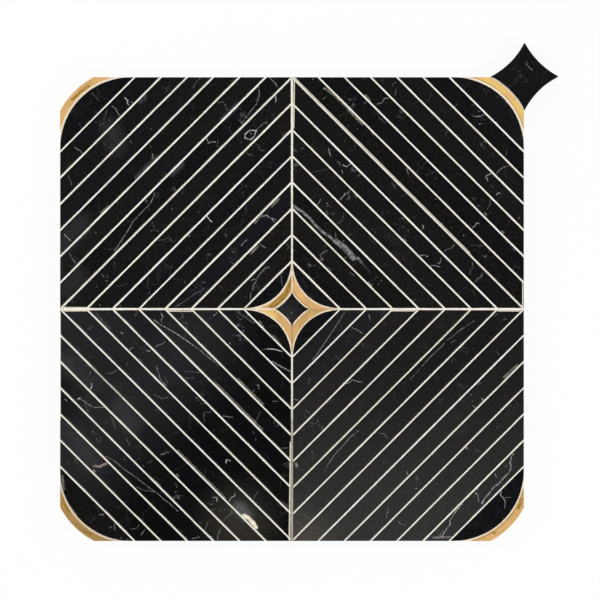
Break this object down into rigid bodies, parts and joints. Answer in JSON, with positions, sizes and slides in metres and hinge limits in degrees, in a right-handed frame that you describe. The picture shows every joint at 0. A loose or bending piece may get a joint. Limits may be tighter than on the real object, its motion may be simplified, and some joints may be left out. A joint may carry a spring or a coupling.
{
  "type": "waterjet mosaic tile",
  "caption": "Square waterjet-cut mosaic sheet of black marble strips in nested diamonds, with brass bows round a middle star and at its rounded corners, and a corner star.",
  "frame": {"origin": "middle of the sheet, on the back of the net that carries it", "axes": "+Z out of the polished face, +X and +Y along the sheet's edges towards the corner with the star"},
  "size_m": [0.3224, 0.3224, 0.0105],
  "materials": {
    "black_marble": "polished",
    "brass": "satin",
    "joint_filler": "matte",
    "glass_net": "woven"
  },
  "bodies": {
    "root": {"backing_net": "glass_net", "corner_brass": "brass", "corner_star": "black_marble", "corner_stones": "black_marble", "joint_filler": "joint_filler", "middle_star": "black_marble", "star_brass": "brass", "star_stones": "black_marble", "strip_ne_01": "black_marble", "strip_ne_02": "black_marble", "strip_ne_03": "black_marble", "strip_ne_04": "black_marble", "strip_ne_05": "black_marble", "strip_ne_06": "black_marble", "strip_ne_07": "black_marble", "strip_ne_08": "black_marble", "strip_ne_09": "black_marble", "strip_ne_10": "black_marble", "strip_ne_11": "black_marble", "strip_ne_12": "black_marble", "strip_ne_13": "black_marble", "strip_nw_01": "black_marble", "strip_nw_02": "black_marble", "strip_nw_03": "black_marble", "strip_nw_04": "black_marble", "strip_nw_05": "black_marble", "strip_nw_06": "black_marble", "strip_nw_07": "black_marble", "strip_nw_08": "black_marble", "strip_nw_09": "black_marble", "strip_nw_10": "black_marble", "strip_nw_11": "black_marble", "strip_nw_12": "black_marble", "strip_nw_13": "black_marble", "strip_se_01": "black_marble", "strip_se_02": "black_marble", "strip_se_03": "black_marble", "strip_se_04": "black_marble", "strip_se_05": "black_marble", "strip_se_06": "black_marble", "strip_se_07": "black_marble", "strip_se_08": "black_marble", "strip_se_09": "black_marble", "strip_se_10": "black_marble", "strip_se_11": "black_marble", "strip_se_12": "black_marble", "strip_se_13": "black_marble", "strip_sw_01": "black_marble", "strip_sw_02": "black_marble", "strip_sw_03": "black_marble", "strip_sw_04": "black_marble", "strip_sw_05": "black_marble", "strip_sw_06": "black_marble", "strip_sw_07": "black_marble", "strip_sw_08": "black_marble", "strip_sw_09": "black_marble", "strip_sw_10": "black_marble", "strip_sw_11": "black_marble", "strip_sw_12": "black_marble", "strip_sw_13": "black_marble"}
  },
  "joints": []
}
